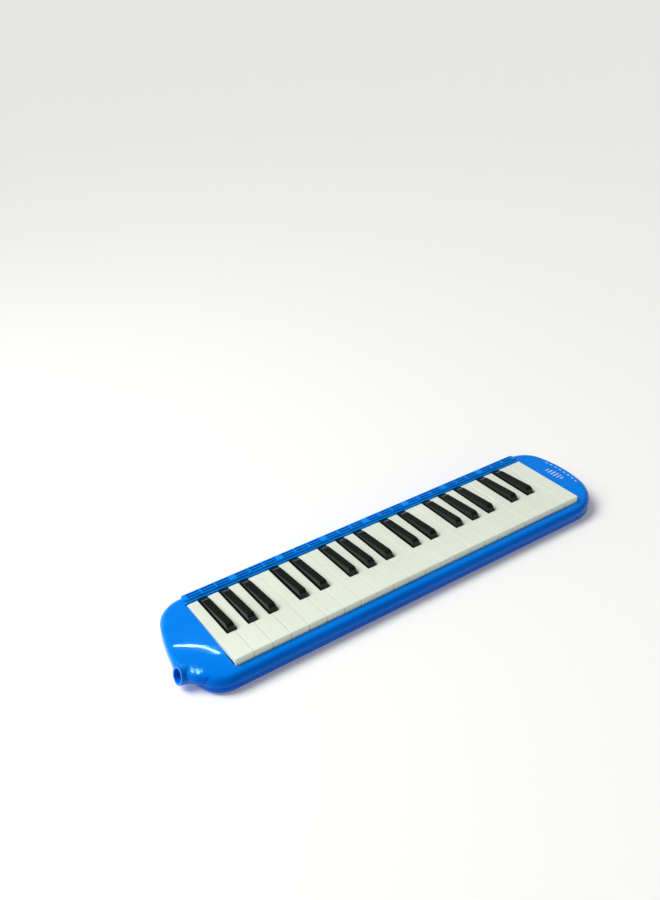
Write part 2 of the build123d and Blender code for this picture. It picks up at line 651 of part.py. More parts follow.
def air_duct():
    """Hollow elbow that leads the breath from the socket to the wind chest."""
    start = SOCKET_INNER_X + DUCT_GASKET_THICK
    left, right = DUCT_RUN_X
    front = DUCT_ENTRY_Y[0]

    def elbow(wall, overrun):
        tall = (DUCT_TALL_Z[0] + wall, DUCT_TALL_Z[1] - wall)
        low = (DUCT_EXIT_Z[0] + wall, DUCT_EXIT_Z[1] - wall)
        entry = block((start + wall, right - wall), (front + wall, DUCT_ENTRY_Y[1] - wall), tall)
        run = block((left + wall, right - wall), (front + wall, DUCT_REAR_Y - wall), tall)
        exit_x = (right - 2 * DUCT_WALL, CHEST_X[0] + overrun)
        return entry + run + block(exit_x, (DUCT_EXIT_Y + wall, DUCT_REAR_Y - wall), low)

    duct = elbow(0, 0) - elbow(DUCT_WALL, 1)
    mouth_z = socket_axis_z(SOCKET_INNER_X)
    return (duct - rod_x((start - 1, start + 2), SOCKET_MOUTH[1], mouth_z, DUCT_MOUTH_R)).solid()


def wind_chest():
    """Tray under the reeds, with the drain box and its nozzle at the right end."""
    w = CHEST_WALL
    side, cover = DRAIN_BOX_WALL
    left, right = CHEST_X
    box_inner_y = (DRAIN_BOX_Y[0] + side, DRAIN_BOX_Y[1] - side)
    box_inner_z = (DRAIN_BOX_Z[0] + cover, DRAIN_BOX_Z[1] - cover)
    tray = block(CHEST_X, CHEST_Y, (CHEST_FLOOR_Z, CHEST_TOP_Z))
    tray += block((right - 0.5, right + 1), DRAIN_BOX_Y, (CHEST_FLOOR_Z, CHEST_TOP_Z))
    tray += block((right + 0.2, DRAIN_SEAT_X + side), DRAIN_BOX_Y, DRAIN_BOX_Z)
    tray += rod_x((DRAIN_SEAT_X, DRAIN_TUBE_END_X), DRAIN_Y, DRAIN_Z, DRAIN_TUBE_R)
    inner_z = (CHEST_FLOOR_Z + CHEST_BASE, CHEST_TOP_Z + 1)
    tray -= block((left + w, right - w), (CHEST_Y[0] + w, CHEST_Y[1] - w), inner_z)
    tray -= block((left - 1, left + 3), *CHEST_INLET)
    tray -= block((right + 0.1, DRAIN_SEAT_X), box_inner_y, box_inner_z)
    for y in DRAIN_INLETS_Y:
        tray -= block((right - 3, right + 1), y, DRAIN_INLETS_Z)
    tray -= rod_x((DRAIN_SEAT_X - 1, DRAIN_TUBE_END_X + 1), DRAIN_Y, DRAIN_Z, DRAIN_TUBE_BORE_R)
    return tray.solid()


def chest_gasket():
    w = CHEST_WALL
    inside = [(a + w, b - w) for a, b in (CHEST_X, CHEST_Y)]
    return block(CHEST_X, CHEST_Y, (CHEST_TOP_Z, GASKET_TOP_Z)) - block(*inside, CHEST_DEPTHS)


def valve_board():
    """Board over the wind chest: one channel below and one port above for each reed."""
    board = block(CHEST_X, (CHEST_Y[0], BOARD_REAR_Y), (GASKET_TOP_Z, BOARD_TOP_Z))
    for _, x, _, _ in KEYS:
        channel = (x - CHANNEL_WIDTH / 2, x + CHANNEL_WIDTH / 2)
        port = (x - PORT_WIDTH / 2, x + PORT_WIDTH / 2)
        board -= block(channel, CHANNEL_Y, (GASKET_TOP_Z - 1, CHANNEL_TOP_Z))
        board -= block(port, PORT_Y, (GASKET_TOP_Z, BOARD_TOP_Z + 1))
    for x, y in plate_screw_places():
        board -= rod_z(x, y, (GASKET_TOP_Z - 1, BOARD_TOP_Z - 0.8), PLATE_HOLE_R)
    return board.solid()


def reed_size(note):
    """Length and width of a reed, from the lowest note to the highest."""
    share = note / (len(KEYS) - 1)
    length = REED_LOW_LENGTH * (REED_HIGH_LENGTH / REED_LOW_LENGTH) ** share
    return length, REED_LOW_WIDTH + (REED_HIGH_WIDTH - REED_LOW_WIDTH) * share


def plate_ranges():
    """X range of each reed plate, and the notes on it."""
    first = 0
    for count in PLATE_NOTES:
        notes = range(first, first + count)
        yield (KEYS[notes[0]][2] + PLATE_MARGIN[0], KEYS[notes[-1]][3] + PLATE_MARGIN[1]), notes
        first += count


def plate_screw_places():
    """Each plate has screws between its two end reeds, in front of and behind them."""
    for _, notes in plate_ranges():
        for x in (KEYS[notes[0]][3], KEYS[notes[-1]][2]):
            yield x, PLATE_Y[0] + PLATE_SCREW_INSET
            yield x, PLATE_Y[1] - PLATE_SCREW_INSET


def reed_plates():
    plates = []
    for reach, notes in plate_ranges():
        length = (reach[0], min(reach[1], CHEST_X[1] - CHEST_WALL - 0.4))
        plate = block(length, PLATE_Y, (PLATE_BOTTOM_Z, GASKET_TOP_Z))
        for note in notes:
            x = KEYS[note][1]
            tongue, width = reed_size(note)
            slot = (x - width / 2 - 0.1, x + width / 2 + 0.1)
            free_y = REED_ROOT_Y + REED_ROOT_LENGTH
            plate -= block(slot, (free_y, free_y + tongue), CHEST_DEPTHS)
            plate -= rod_z(x, REED_RIVET_Y, CHEST_DEPTHS, RIVET_R + 0.05)
        for px, py in plate_screw_places():
            plate -= rod_z(px, py, CHEST_DEPTHS, PLATE_HOLE_R)
        plates.append(plate)
    return plates


def reeds():
    """Free reeds: thin tongues, each riveted by its front end under its plate."""
    tongues = []
    for note, key in enumerate(KEYS):
        length, width = reed_size(note)
        x = key[1]
        reach = (REED_ROOT_Y, REED_ROOT_Y + REED_ROOT_LENGTH + length - 0.1)
        under = (PLATE_BOTTOM_Z - REED_THICK, PLATE_BOTTOM_Z)
        tongue = block((x - width / 2, x + width / 2), reach, under)
        tongues.append(tongue - rod_z(x, REED_RIVET_Y, CHEST_DEPTHS, RIVET_R + 0.05))
    return tongues


def reed_rivets():
    under = PLATE_BOTTOM_Z - REED_THICK
    rivets = []
    for _, x, _, _ in KEYS:
        head = rod_z(x, REED_RIVET_Y, (under - RIVET_HEAD_THICK, under), RIVET_HEAD_R)
        rivets.append(head + rod_z(x, REED_RIVET_Y, (under, GASKET_TOP_Z), RIVET_R))
    return rivets


def reed_plate_screws():
    screws = []
    for x, y in plate_screw_places():
        head = rod_z(x, y, (PLATE_BOTTOM_Z - 1.0, PLATE_BOTTOM_Z), 1.5)
        screws.append(head + rod_z(x, y, (PLATE_BOTTOM_Z, BOARD_TOP_Z - 1.0), PLATE_HOLE_R - 0.05))
    return screws


# ---------------------------------------------------------------- key action in the case

def post_places():
    """Where the posts of the key frame stand: between the levers and at both ends."""
    return [KEYS[0][2] + 0.1] + [key[3] for key in KEYS]


def key_frame():
    """Comb of posts on the valve board that carries the key axle."""
    length = (FRAME_LEFT_X, post_places()[-1] + POST_THICK / 2)
    frame = block(length, (LEVER_FRONT_Y, FRAME_FOOT_REAR_Y), (BOARD_TOP_Z, FRAME_FOOT_Z))
    for x in post_places():
        reach = (max(x - POST_THICK / 2, FRAME_LEFT_X), x + POST_THICK / 2)
        frame += block(reach, (LEVER_FRONT_Y, POST_Y[1]), (BOARD_TOP_Z, FRAME_FOOT_Z))
        frame += block(reach, POST_Y, (BOARD_TOP_Z, POST_TOP_Z))
    return (frame - rod_x(WIDE_X, AXLE_Y, AXLE_Z, AXLE_R)).solid()


def key_axle():
    return rod_x((FRAME_LEFT_X, KEYS[-1][3] + AXLE_OVERHANG), AXLE_Y, AXLE_Z, AXLE_R)


def key_springs():
    """Leaf springs that lift the keys, fixed on the key frame in front of the axle."""
    tip, bend, end = SPRING_Y
    lower = [(end, FRAME_FOOT_Z), (bend, FRAME_FOOT_Z), (tip, SPRING_TIP_Z)]
    outline = lower + [(y, z + SPRING_THICK) for y, z in reversed(lower)]
    half = SPRING_WIDTH / 2
    return [side_profile(outline, (x - half, x + half)) for _, x, _, _ in KEYS]


def key_stop_felts():
    """Strips that the pressed keys land on: front one for white keys, middle one for black keys."""
    reach = (0.5, KEYBOARD_WIDTH - 0.5)
    return [
        block(reach, FRONT_RIB_Y, (FRONT_RIB_TOP_Z, FRONT_FELT_TOP_Z)),
        block(reach, MIDDLE_RIB_Y, (MIDDLE_RIB_TOP_Z, MIDDLE_FELT_TOP_Z)),
    ]


# ---------------------------------------------------------------- drain valve and hand strap

def drain_hole():
    reach = (DRAIN_TUBE_END_X - 1, DRAIN_BUTTON_END_X + 5)
    return rod_x(reach, DRAIN_Y, DRAIN_Z, DRAIN_BUTTON_R + 0.2)


def drain_button():
    """Push button and its stem, which carries the seal inside the drain box."""
    start = DRAIN_TUBE_END_X + DRAIN_STROKE_GAP
    cap = rod_x((start, DRAIN_BUTTON_END_X), DRAIN_Y, DRAIN_Z, DRAIN_BUTTON_R)
    cap = fillet(cap.edges().sort_by(Axis.X)[-1], DRAIN_BUTTON_EDGE_R)
    return cap + rod_x((DRAIN_SEAT_X - DRAIN_STEM_TAIL, start + 0.7), DRAIN_Y, DRAIN_Z, DRAIN_STEM_R)


def drain_seal():
    face = DRAIN_SEAT_X - 0.1
    reach = (face - DRAIN_SEAL_THICK, face)
    return rod_x(reach, DRAIN_Y, DRAIN_Z, DRAIN_SEAL_R) - rod_x(reach, DRAIN_Y, DRAIN_Z, DRAIN_STEM_R)


def drain_spring():
    """Coil spring behind the stem, at the length it has when the button is pressed."""
    start = CHEST_X[1] + 0.4
    length = DRAIN_SEAT_X - DRAIN_STEM_TAIL - 2.2 - start
    path = Helix(pitch=length / DRAIN_SPRING_TURNS, height=length, radius=DRAIN_SPRING_R)
    section = Plane(origin=path @ 0, z_dir=path % 0) * Circle(DRAIN_SPRING_WIRE_R)
    return Pos(start, DRAIN_Y, DRAIN_Z) * Rot(0, 90, 0) * sweep(section, path)


def strap_screw_places():
    return [STRAP_X[0] + ANCHOR_LENGTH / 2, STRAP_X[1] - ANCHOR_LENGTH / 2]


def hand_strap():
    """Flat webbing strap that lies in its recess."""
    top = STRAP_RECESS_Z - STRAP_CLEARANCE
    strap = block(STRAP_X, STRAP_Y, (top - STRAP_THICK, top))
    for x in strap_screw_places():
        strap -= rod_z(x, sum(STRAP_Y) / 2, (FLOOR_Z, STRAP_RECESS_Z + 1), 1.2)
    return strap


def strap_anchors():
    """Plates over the strap's ends."""
    anchors = []
    for x in strap_screw_places():
        reach = (x - ANCHOR_LENGTH / 2 + 0.3, x + ANCHOR_LENGTH / 2 - 0.3)
        depth = (STRAP_Y[0] + 0.2, STRAP_Y[1] - 0.2)
        plate = block(reach, depth, (ANCHOR_TOP_Z - ANCHOR_THICK, ANCHOR_TOP_Z))
        plate = fillet(plate.edges().filter_by(Axis.Z), ANCHOR_CORNER_R)
        plate -= rod_z(x, sum(STRAP_Y) / 2, (FLOOR_Z, STRAP_RECESS_Z), 1.0)
        anchors.append(plate)
    return anchors


def strap_screws():
    under = ANCHOR_TOP_Z - ANCHOR_THICK
    y = sum(STRAP_Y) / 2
    screws = []
    for x in strap_screw_places():
        head = rod_z(x, y, (under - ANCHOR_SCREW_HEAD_THICK, under), ANCHOR_SCREW_HEAD_R)
        screws.append(head + rod_z(x, y, (under, STRAP_RECESS_Z + 2.8), ANCHOR_SCREW_R))
    return screws


def main():
    os.makedirs("parts", exist_ok=True)
    shell = case_shell()
    save("top_case", top_case(shell))
    save("lower_case", lower_case(shell))
    save("case_screws", *case_screws())
    save("sound_rail", sound_rail())
    save("mouthpiece_socket", mouthpiece_socket())
    save("duct_gasket", duct_gasket())
    save("air_duct", air_duct())
    save("wind_chest", wind_chest())
    save("chest_gasket", chest_gasket())
    save("valve_board", valve_board())
    save("reed_plates", *reed_plates())
    save("reeds", *reeds())
    save("reed_rivets", *reed_rivets())
    save("reed_plate_screws", *reed_plate_screws())
    save("key_frame", key_frame())
    save("key_axle", key_axle())
    save("key_springs", *key_springs())
    save("key_stop_felts", *key_stop_felts())
    save("drain_button", drain_button())
    save("drain_seal", drain_seal())
    save("drain_spring", drain_spring())
    save("hand_strap", hand_strap())
    save("strap_anchors", *strap_anchors(), *strap_screws())
    save_keys()


main()
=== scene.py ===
"""A blue melodica in a plain studio: camera, lights, materials and soft pieces around its CAD frame."""
import json
import math

import bmesh
import bpy
from mathutils import Matrix, Vector


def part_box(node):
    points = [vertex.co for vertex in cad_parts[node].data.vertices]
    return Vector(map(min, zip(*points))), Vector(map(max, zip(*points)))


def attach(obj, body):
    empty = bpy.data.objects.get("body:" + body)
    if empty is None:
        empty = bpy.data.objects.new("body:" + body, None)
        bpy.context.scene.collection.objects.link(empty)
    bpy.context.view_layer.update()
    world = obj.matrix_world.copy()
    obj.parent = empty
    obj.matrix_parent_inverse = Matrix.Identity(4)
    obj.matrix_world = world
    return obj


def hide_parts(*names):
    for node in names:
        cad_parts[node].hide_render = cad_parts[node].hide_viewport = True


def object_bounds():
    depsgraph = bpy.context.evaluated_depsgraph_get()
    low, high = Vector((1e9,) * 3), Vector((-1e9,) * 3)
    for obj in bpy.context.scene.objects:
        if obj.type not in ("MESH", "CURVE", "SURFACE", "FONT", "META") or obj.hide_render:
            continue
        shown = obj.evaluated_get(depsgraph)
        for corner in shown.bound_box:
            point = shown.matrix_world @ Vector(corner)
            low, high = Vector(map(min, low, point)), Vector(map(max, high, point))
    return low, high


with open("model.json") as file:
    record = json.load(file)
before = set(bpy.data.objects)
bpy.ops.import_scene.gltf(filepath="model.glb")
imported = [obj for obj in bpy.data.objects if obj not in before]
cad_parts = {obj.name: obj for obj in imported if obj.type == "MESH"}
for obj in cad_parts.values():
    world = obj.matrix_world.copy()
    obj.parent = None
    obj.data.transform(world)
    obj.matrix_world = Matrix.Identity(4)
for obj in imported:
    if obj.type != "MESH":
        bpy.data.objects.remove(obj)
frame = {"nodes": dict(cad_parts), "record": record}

CAD_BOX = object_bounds()
MM = 0.001

# Camera: where its axis meets the floor, and how it looks at that point.
CAMERA_AIM = Vector((0.0727, 0.1992, 0.0))
CAMERA_DISTANCE = 1.0222
CAMERA_HEADING = math.radians(34.07)        # from +Y towards +X
CAMERA_DIP = math.radians(30.99)            # below the horizon
CAMERA_ROLL = math.radians(-1.41)
CAMERA_LENS = 37.85
CAMERA_SENSOR = 36.0                        # along the image's longer side

# Floor
FLOOR_SIZE = 30.0
FLOOR_DROP = 0.2 * MM                       # how far it lies under the instrument
FLOOR_COLOUR = (0.93, 0.925, 0.915)
FLOOR_SHADE = 0.985                         # darkest fleck in the paper
FLOOR_ROUGHNESS = 0.8
FLOOR_GLOSS = 0.1
FLOOR_GLOW = 0.12

# Room
ROOM_LOW = 1.0                              # brightness near the horizon
ROOM_HIGH = 0.22                            # and overhead
ROOM_BAND = (0.12, 0.4)                     # the sines of the elevations where it changes
ROOM_FRONT = 0.65                           # share of that brightness on the player's side
ROOM_DEPTH = (-0.4, 0.3)                    # directions along Y between which that share grows to 1

# Lights. A direction is an azimuth from +Y towards +X and an elevation, in degrees.
SUN_DIRECTION = (-58, 52)
SUN_STRENGTH = 1.9
SUN_ANGLE = 34
FILL_DIRECTION = (-165, 12)
FILL_STRENGTH = 0.44
FILL_ANGLE = 50
FILL_COLOUR = (0.95, 0.95, 0.3)
SOFTBOX_AIM = (-0.197, -0.006)              # the place on the left panel that it faces
SOFTBOX_DIRECTION = (-60, 50)
SOFTBOX_DISTANCE = 0.9
SOFTBOX_SIZE = 0.6
SOFTBOX_POWER = 3.4
STRIP_DISTANCE = 1.4                        # from the crown
STRIP_WIDTHS = {"long_strip": 0.0030, "short_strip": 0.0005}
STRIP_RADIANCE = 280.0

# Crowned top of the case, in the row frame
CROWN_RADIUS = 745 * MM
CROWN_Y = 46.25 * MM
CROWN_Z = 21.3 * MM

# Lines on the left panel along which the strip lights are seen: where each one starts and
# ends, how far it bows to its left in between, and how many straight lights make it up.
HIGHLIGHTS = {
    "long_strip": ((-212 * MM, 2 * MM), (-185 * MM, -24 * MM), 4 * MM, 3),
    "short_strip": ((-211.9 * MM, -21.7 * MM), (-206.9 * MM, -33.1 * MM), 0, 1),
}

# Colours and gloss
WHITE = (1.0, 1.0, 1.0)
RUBBER_GLOSS = 0.3
AZURE = (0.0, 0.225, 0.9)
# Painted shade: darker blues for faces turned towards the player, standing in for the shade on the
# case's front
AZURE_SHADED_FRONT = (0.0, 0.11, 0.62)
# Painted shade: the lower shell is a darker copy of the same blue, standing in for the darker lower
# part of the front wall
AZURE_LOWER_SHADED = (0.0, 0.15, 0.72)
AZURE_LOWER_SHADED_FRONT = (0.0, 0.085, 0.56)
# Painted light: a paler blue than the case's lights the sound rail, and its front faces get no painted
# shade
AZURE_RAIL_LIT = (0.0, 0.285, 1.0)
AZURE_GLOSS = (0.05, 0.6, 1.0)
SHADED_FRONT_TURN = (-0.7, -0.1)                   # the normal's Y where the painted shade is full (a front face), and where it is none (a top face)

# Pads under the rear ends of the keys, in the row frame
PAD_FRONT_Y = 39.2 * MM
PAD_TOP_Z = 13.4 * MM
PAD_FELT = ((0.30, 0.06, 0.05), (0.42, 0.10, 0.08))
PAD_ROUGHNESS = 0.9

# Printed decoration on the right panel. The dashes follow the bow of the case's right end.
RIGHT_BOW_X = 99.79 * MM
RIGHT_BOW_Y = -2.55 * MM
DASH_RADIUS = 115.5 * MM
DASH_ANGLES = (11.0, -8.0)                  # degrees from +X
DASH_COUNT = 8
DASH_SIZE = (1.0 * MM, 2.4 * MM)
BAR_X = 205.9 * MM
BAR_Y = (9.5 * MM, -8.0 * MM)
BAR_LENGTHS = (4.5, 6.5, 7.5, 7.5, 6.5, 4.5)        # millimetres
BAR_WIDTH = 1.1 * MM
BAR_LEAN = 0.12                             # shift along X for each unit along Y
PRINT_THICK = 0.04 * MM

# Webbing strap on the underside
STRAP_ROLL = 0.5 * MM
STRAP_STEPS = 120
STRAP_RIPPLE = 0.03                         # share of the thickness
STRAP_EDGE = 0.4                            # half height of the strap's edge, as a share of the middle


# ---------------------------------------------------------------- camera and studio

def camera_axes(heading, dip, roll):
    """Right, up and back directions of a camera that looks down by dip towards heading."""
    flat = Vector((math.sin(heading), math.cos(heading), 0))
    forward = flat * math.cos(dip) + Vector((0, 0, -math.sin(dip)))
    level_right = forward.cross(Vector((0, 0, 1))).normalized()
    level_up = level_right.cross(forward)
    right = level_right * math.cos(roll) + level_up * math.sin(roll)
    up = level_up * math.cos(roll) - level_right * math.sin(roll)
    return right, up, -forward


def add_camera():
    right, up, back = camera_axes(CAMERA_HEADING, CAMERA_DIP, CAMERA_ROLL)
    data = bpy.data.cameras.new("camera")
    data.lens = CAMERA_LENS
    data.sensor_width = CAMERA_SENSOR
    data.clip_start = 0.01
    camera = bpy.data.objects.new("camera", data)
    turn = Matrix((right, up, back)).transposed().to_4x4()
    camera.matrix_world = Matrix.Translation(CAMERA_AIM + back * CAMERA_DISTANCE) @ turn
    bpy.context.scene.collection.objects.link(camera)
    bpy.context.scene.camera = camera


def add_floor():
    mesh = bpy.data.meshes.new("floor")
    half = FLOOR_SIZE / 2
    corners = [(-half, -half, 0), (half, -half, 0), (half, half, 0), (-half, half, 0)]
    mesh.from_pydata(corners, [], [(0, 1, 2, 3)])
    floor = bpy.data.objects.new("floor", mesh)
    floor.location.z = CAD_BOX[0].z - FLOOR_DROP
    bpy.context.scene.collection.objects.link(floor)
    material, tree, shader = new_material("studio_paper")
    grain = noise(tree, scale=900, detail=3)
    set_colour(tree, shader, grain, FLOOR_COLOUR, [c * FLOOR_SHADE for c in FLOOR_COLOUR])
    shader.inputs["Roughness"].default_value = FLOOR_ROUGHNESS
    shader.inputs["Specular IOR Level"].default_value = FLOOR_GLOSS
    shader.inputs["Emission Color"].default_value = (1, 1, 1, 1)
    shader.inputs["Emission Strength"].default_value = FLOOR_GLOW
    mesh.materials.append(material)


def crown_point(x, y):
    """Point on the crowned top of the case, and the direction straight out of it."""
    centre = Vector((x, CROWN_Y, CROWN_Z - CROWN_RADIUS))
    height = math.sqrt(CROWN_RADIUS ** 2 - (y - CROWN_Y) ** 2)
    point = Vector((x, y, centre.z + height))
    return point, (point - centre).normalized()


def seen_in_crown(x, y):
    """Where a light must stand to be mirrored to the camera at that place on the crown."""
    point, normal = crown_point(x, y)
    ray = (point - bpy.context.scene.camera.matrix_world.translation).normalized()
    return point + (ray - 2 * ray.dot(normal) * normal) * STRIP_DISTANCE


def link_light(name, data, matrix, mirrored=True):
    """Place a light. One that isn't mirrored leaves no highlight on glossy surfaces."""
    light = bpy.data.objects.new(name, data)
    light.matrix_world = matrix
    light.visible_glossy = mirrored
    bpy.context.scene.collection.objects.link(light)


def bowed_line(start, end, bow, count):
    """Evenly spaced places from start to end, on a line that bows to its left by that much."""
    start, end = Vector(start), Vector(end)
    along = end - start
    left = Vector((-along.y, along.x)).normalized()
    shares = [i / count for i in range(count + 1)]
    return [start + along * t + left * bow * 4 * t * (1 - t) for t in shares]


def add_strip_light(name, width, first, second):
    """Narrow light whose reflection runs from the first place on the crown to the second."""
    start, end = seen_in_crown(*first), seen_in_crown(*second)
    target, _ = crown_point(*first)
    along = (end - start).normalized()
    away = (start + end) / 2 - target
    away = (away - away.dot(along) * along).normalized()
    data = bpy.data.lights.new(name, "AREA")
    data.shape = "RECTANGLE"
    data.size = (end - start).length
    data.size_y = width
    data.energy = STRIP_RADIANCE * math.pi * data.size * data.size_y
    turn = Matrix((along, away.cross(along), away)).transposed().to_4x4()
    link_light(name, data, Matrix.Translation((start + end) / 2) @ turn)


def direction(azimuth, elevation):
    """Unit vector at that azimuth from +Y towards +X and that elevation, in degrees."""
    a, e = math.radians(azimuth), math.radians(elevation)
    return Vector((math.sin(a) * math.cos(e), math.cos(a) * math.cos(e), math.sin(e)))


def add_softbox(name, target, away, distance, size, power):
    data = bpy.data.lights.new(name, "AREA")
    data.size = size
    data.energy = power
    facing = away.to_track_quat("Z", "Y").to_matrix().to_4x4()
    link_light(name, data, Matrix.Translation(target + away * distance) @ facing)


def add_sun(name, away, strength, angle, colour=WHITE):
    """Distant soft light from that direction."""
    data = bpy.data.lights.new(name, "SUN")
    data.energy = strength
    data.color = colour
    data.angle = math.radians(angle)
    link_light(name, data, away.to_track_quat("Z", "Y").to_matrix().to_4x4(), mirrored=False)


def add_lights():
    left_panel, _ = crown_point(*SOFTBOX_AIM)
    add_sun("key", direction(*SUN_DIRECTION), SUN_STRENGTH, SUN_ANGLE)
    add_sun("front_fill", direction(*FILL_DIRECTION), FILL_STRENGTH, FILL_ANGLE, FILL_COLOUR)
    away = direction(*SOFTBOX_DIRECTION)
    add_softbox("side_softbox", left_panel, away, SOFTBOX_DISTANCE, SOFTBOX_SIZE, SOFTBOX_POWER)
    for name, line in HIGHLIGHTS.items():
        places = bowed_line(*line)
        for number, (first, second) in enumerate(zip(places, places[1:])):
            add_strip_light(f"{name}_{number}", STRIP_WIDTHS[name], first, second)


def add_world():
    """Studio room: bright low down, dimmer overhead."""
    world = bpy.data.worlds.new("studio")
    world.use_nodes = True
    tree = world.node_tree
    ray = tree.nodes.new("ShaderNodeTexCoord").outputs["Generated"]
    split = tree.nodes.new("ShaderNodeSeparateXYZ")
    tree.links.new(ray, split.inputs["Vector"])
    height = mapped(tree, split.outputs["Z"], ROOM_LOW, ROOM_HIGH, *ROOM_BAND)
    depth = mapped(tree, split.outputs["Y"], ROOM_FRONT, 1.0, *ROOM_DEPTH)
    strength = maths(tree, "MULTIPLY", height, depth)
    tree.links.new(strength, tree.nodes["Background"].inputs["Strength"])
    tree.nodes["Background"].inputs["Color"].default_value = (1, 1, 1, 1)
    bpy.context.scene.world = world
    bpy.context.scene.view_settings.view_transform = "Standard"


# ---------------------------------------------------------------- material building blocks

def new_material(name):
    """An empty material: itself, its node tree and its shader."""
    material = bpy.data.materials.new(name)
    material.use_nodes = True
    tree = material.node_tree
    return material, tree, tree.nodes["Principled BSDF"]


def position(tree):
    """The point on the object at rest, in metres."""
    return tree.nodes.new("ShaderNodeTexCoord").outputs["Object"]


def stretched(tree, factors):
    """The point on the object, scaled along each axis."""
    mapping = tree.nodes.new("ShaderNodeMapping")
    mapping.inputs["Scale"].default_value = factors
    tree.links.new(position(tree), mapping.inputs["Vector"])
    return mapping.outputs["Vector"]


def noise(tree, scale, detail=2.0, roughness=0.5, vector=None):
    node = tree.nodes.new("ShaderNodeTexNoise")
    node.inputs["Scale"].default_value = scale
    node.inputs["Detail"].default_value = detail
    node.inputs["Roughness"].default_value = roughness
    tree.links.new(vector or position(tree), node.inputs["Vector"])
    return node.outputs["Fac"]


def mapped(tree, value, low, high, start=0.3, end=0.7):
    """value, from start to end, becomes low to high."""
    node = tree.nodes.new("ShaderNodeMapRange")
    node.inputs["From Min"].default_value = start
    node.inputs["From Max"].default_value = end
    node.inputs["To Min"].default_value = low
    node.inputs["To Max"].default_value = high
    tree.links.new(value, node.inputs["Value"])
    return node.outputs["Result"]


def maths(tree, operation, first, second):
    node = tree.nodes.new("ShaderNodeMath")
    node.operation = operation
    for socket, value in zip(node.inputs, (first, second)):
        if isinstance(value, (int, float)):
            socket.default_value = value
        else:
            tree.links.new(value, socket)
    return node.outputs["Value"]


def blended(tree, factor, first, second):
    """Colour from first to second. Each is a colour or another node's output."""
    node = tree.nodes.new("ShaderNodeMix")
    node.data_type = "RGBA"
    tree.links.new(factor, node.inputs["Factor"])
    for socket, value in ((node.inputs["A"], first), (node.inputs["B"], second)):
        if isinstance(value, bpy.types.NodeSocket):
            tree.links.new(value, socket)
        else:
            socket.default_value = (*value, 1)
    return node.outputs["Result"]


def set_colour(tree, shader, factor, first, second):
    tree.links.new(blended(tree, factor, first, second), shader.inputs["Base Color"])


def set_bump(tree, shader, height, distance, strength=1.0):
    bump = tree.nodes.new("ShaderNodeBump")
    bump.inputs["Distance"].default_value = distance
    bump.inputs["Strength"].default_value = strength
    tree.links.new(height, bump.inputs["Height"])
    tree.links.new(bump.outputs["Normal"], shader.inputs["Normal"])


# ---------------------------------------------------------------- materials

def shades(colour, spread):
    """Slightly darker and slightly paler versions of a colour."""
    return [c * (1 - spread) for c in colour], [c * (1 + spread) + spread / 20 for c in colour]


def gloss_tint(shader, level, tint):
    shader.inputs["Specular IOR Level"].default_value = level
    shader.inputs["Specular Tint"].default_value = (*tint, 1)


def front_shade_share(tree):
    """How far a surface is turned from the sky towards the player, from 0 to 1: the share of painted
    shade on it.
    """
    split = tree.nodes.new("ShaderNodeSeparateXYZ")
    tree.links.new(tree.nodes.new("ShaderNodeTexCoord").outputs["Normal"], split.inputs["Vector"])
    return mapped(tree, split.outputs["Y"], 1.0, 0.0, *SHADED_FRONT_TURN)


def glossy_plastic(name, colour, shaded_front_colour, roughness, level=0.5):
    """Moulded ABS: painted shade makes faces turned to the player a deeper blue; faint flow marks, and
    slight ripple and haze in the gloss.
    """
    material, tree, shader = new_material(name)
    flow = mapped(tree, noise(tree, scale=14, detail=3, vector=stretched(tree, (1, 2.5, 2.5))), 0, 1)
    upper = blended(tree, flow, *shades(colour, 0.05))
    front = blended(tree, flow, *shades(shaded_front_colour, 0.05))
    # Painted shade: faces turned towards the player take the darker blue
    tree.links.new(blended(tree, front_shade_share(tree), upper, front), shader.inputs["Base Color"])
    haze = noise(tree, scale=60, detail=4, roughness=0.6)
    tree.links.new(mapped(tree, haze, roughness * 0.8, roughness * 1.35), shader.inputs["Roughness"])
    ripple = noise(tree, scale=45, detail=1)
    grain = noise(tree, scale=2600, detail=2)
    fine = maths(tree, "MULTIPLY", grain, 0.12)
    height = maths(tree, "ADD", maths(tree, "MULTIPLY", ripple, 6.0), fine)
    set_bump(tree, shader, height, distance=0.0004 * MM, strength=0.5)
    gloss_tint(shader, level, AZURE_GLOSS)
    return material


def key_plastic(name, colour, roughness, level):
    """Satin moulded key with finger wear on its top, and the felt pad under its rear end."""
    material, tree, shader = new_material(name)
    place = tree.nodes.new("ShaderNodeSeparateXYZ")
    tree.links.new(position(tree), place.inputs["Vector"])
    behind = maths(tree, "GREATER_THAN", place.outputs["Y"], PAD_FRONT_Y)
    below = maths(tree, "LESS_THAN", place.outputs["Z"], PAD_TOP_Z)
    pad = maths(tree, "MULTIPLY", behind, below)
    cloud = noise(tree, scale=35, detail=4, vector=stretched(tree, (1, 0.4, 1)))
    plastic = blended(tree, mapped(tree, cloud, 0, 1), *shades(colour, 0.03))
    fibres = blended(tree, noise(tree, scale=2500, detail=3), *PAD_FELT)
    tree.links.new(blended(tree, pad, plastic, fibres), shader.inputs["Base Color"])
    wear = noise(tree, scale=90, detail=4, roughness=0.6)
    satin = mapped(tree, wear, roughness * 0.85, roughness * 1.2)
    rough = maths(tree, "MAXIMUM", satin, maths(tree, "MULTIPLY", pad, PAD_ROUGHNESS))
    tree.links.new(rough, shader.inputs["Roughness"])
    relief = noise(tree, scale=1800, detail=2)
    set_bump(tree, shader, relief, distance=0.0015 * MM, strength=0.5)
    gloss_tint(shader, level, WHITE)
    return material


